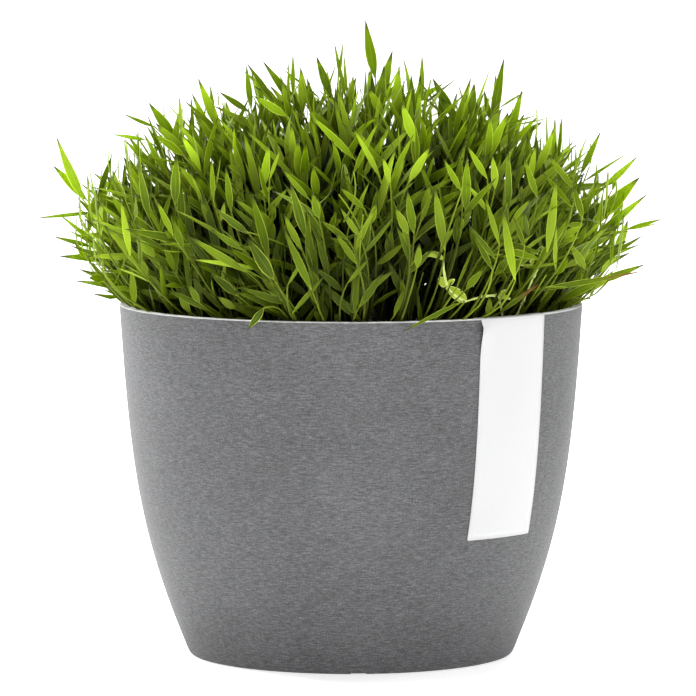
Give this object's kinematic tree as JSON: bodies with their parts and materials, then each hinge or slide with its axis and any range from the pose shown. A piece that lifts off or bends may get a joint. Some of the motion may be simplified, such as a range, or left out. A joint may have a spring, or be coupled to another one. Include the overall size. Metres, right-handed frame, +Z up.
{
  "type": "potted bamboo grass",
  "caption": "Dense dome of narrow green bamboo-grass blades in a tapered round grey planter, with a blank white label hung over the rim.",
  "frame": {"origin": "centre of the pot's flat underside", "axes": "+Z up, out of the pot's mouth; -Y the front; the label hangs on the front right, between +X and -Y"},
  "size_m": [0.2716, 0.2561, 0.2734],
  "materials": {
    "pot": "matt mid-grey composite of plastic and stone dust, with fine level streaks",
    "compost": "moist dark peat and bark fibre",
    "label": "smooth white card",
    "foliage": "satin yellow-green grass blades on woody culms",
    "seedling": "pale green soft leaves"
  },
  "bodies": {
    "root": {"planter": "pot", "compost": "compost", "label": "label", "culm_01": "foliage", "culm_02": "foliage", "culm_03": "foliage", "culm_04": "foliage", "culm_05": "foliage", "culm_06": "foliage", "culm_07": "foliage", "culm_08": "foliage", "culm_09": "foliage", "culm_10": "foliage", "culm_11": "foliage", "culm_12": "foliage", "culm_13": "foliage", "culm_14": "foliage", "culm_15": "foliage", "culm_16": "foliage", "culm_17": "foliage", "culm_18": "foliage", "culm_19": "foliage", "culm_20": "foliage", "culm_21": "foliage", "culm_22": "foliage", "culm_23": "foliage", "culm_24": "foliage", "culm_25": "foliage", "culm_26": "foliage", "culm_27": "foliage", "culm_28": "foliage", "culm_29": "foliage", "culm_30": "foliage", "culm_31": "foliage", "culm_32": "foliage", "seedling_01": "seedling", "seedling_02": "seedling"}
  },
  "joints": []
}
